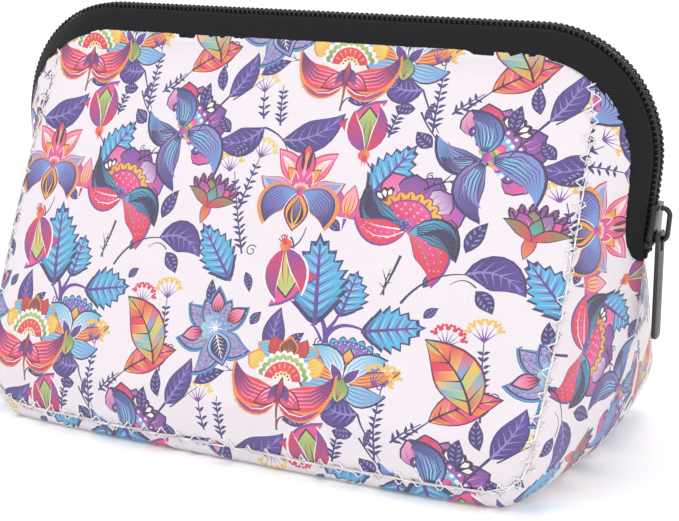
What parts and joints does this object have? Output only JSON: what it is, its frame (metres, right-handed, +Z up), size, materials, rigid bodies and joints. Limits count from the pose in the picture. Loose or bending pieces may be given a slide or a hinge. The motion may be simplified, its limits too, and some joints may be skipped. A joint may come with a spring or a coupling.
{
  "type": "makeup bag",
  "caption": "Soft wedge-shaped makeup bag in printed foam knit, with a coil zip that runs over the top and down both sides.",
  "frame": {"origin": "middle of the flat underside, on the surface the bag stands on", "axes": "+X along the bag's width, towards the slider; -Y out of the front panel; +Z up"},
  "size_m": [0.2598, 0.128, 0.15],
  "materials": {
    "printed_cloth": "white foam-backed knit with an all-over flower print",
    "zip_tape": "black woven zip tape",
    "zip_coil": "black nylon coil, semi-gloss",
    "zip_stop": "black painted metal",
    "slider": "black enamelled die-cast metal",
    "pull_tab": "black semi-gloss enamelled metal"
  },
  "bodies": {
    "bag": {"front_panel": "printed_cloth", "back_panel": "printed_cloth", "base_gusset": "printed_cloth", "right_gusset": "printed_cloth", "left_gusset": "printed_cloth", "front_zip_tape": "zip_tape", "back_zip_tape": "zip_tape", "front_zip_coil": "zip_coil", "back_zip_coil": "zip_coil", "closed_end_stops": "zip_stop", "open_end_stop": "zip_stop"},
    "slider": {"slider_body": "slider"},
    "pull": {"pull_tab": "pull_tab"}
  },
  "joints": [
    {"name": "slider_travel", "type": "slide", "parent": "bag", "child": "slider", "axis": [0.0767, 0, 0.9971], "range_m": [0, 0.011]},
    {"name": "pull_swing", "type": "hinge", "parent": "slider", "child": "pull", "pos_m": [0.12854, 0, 0.08305], "axis": [0, -1, 0], "range_deg": [-4, 120]}
  ]
}
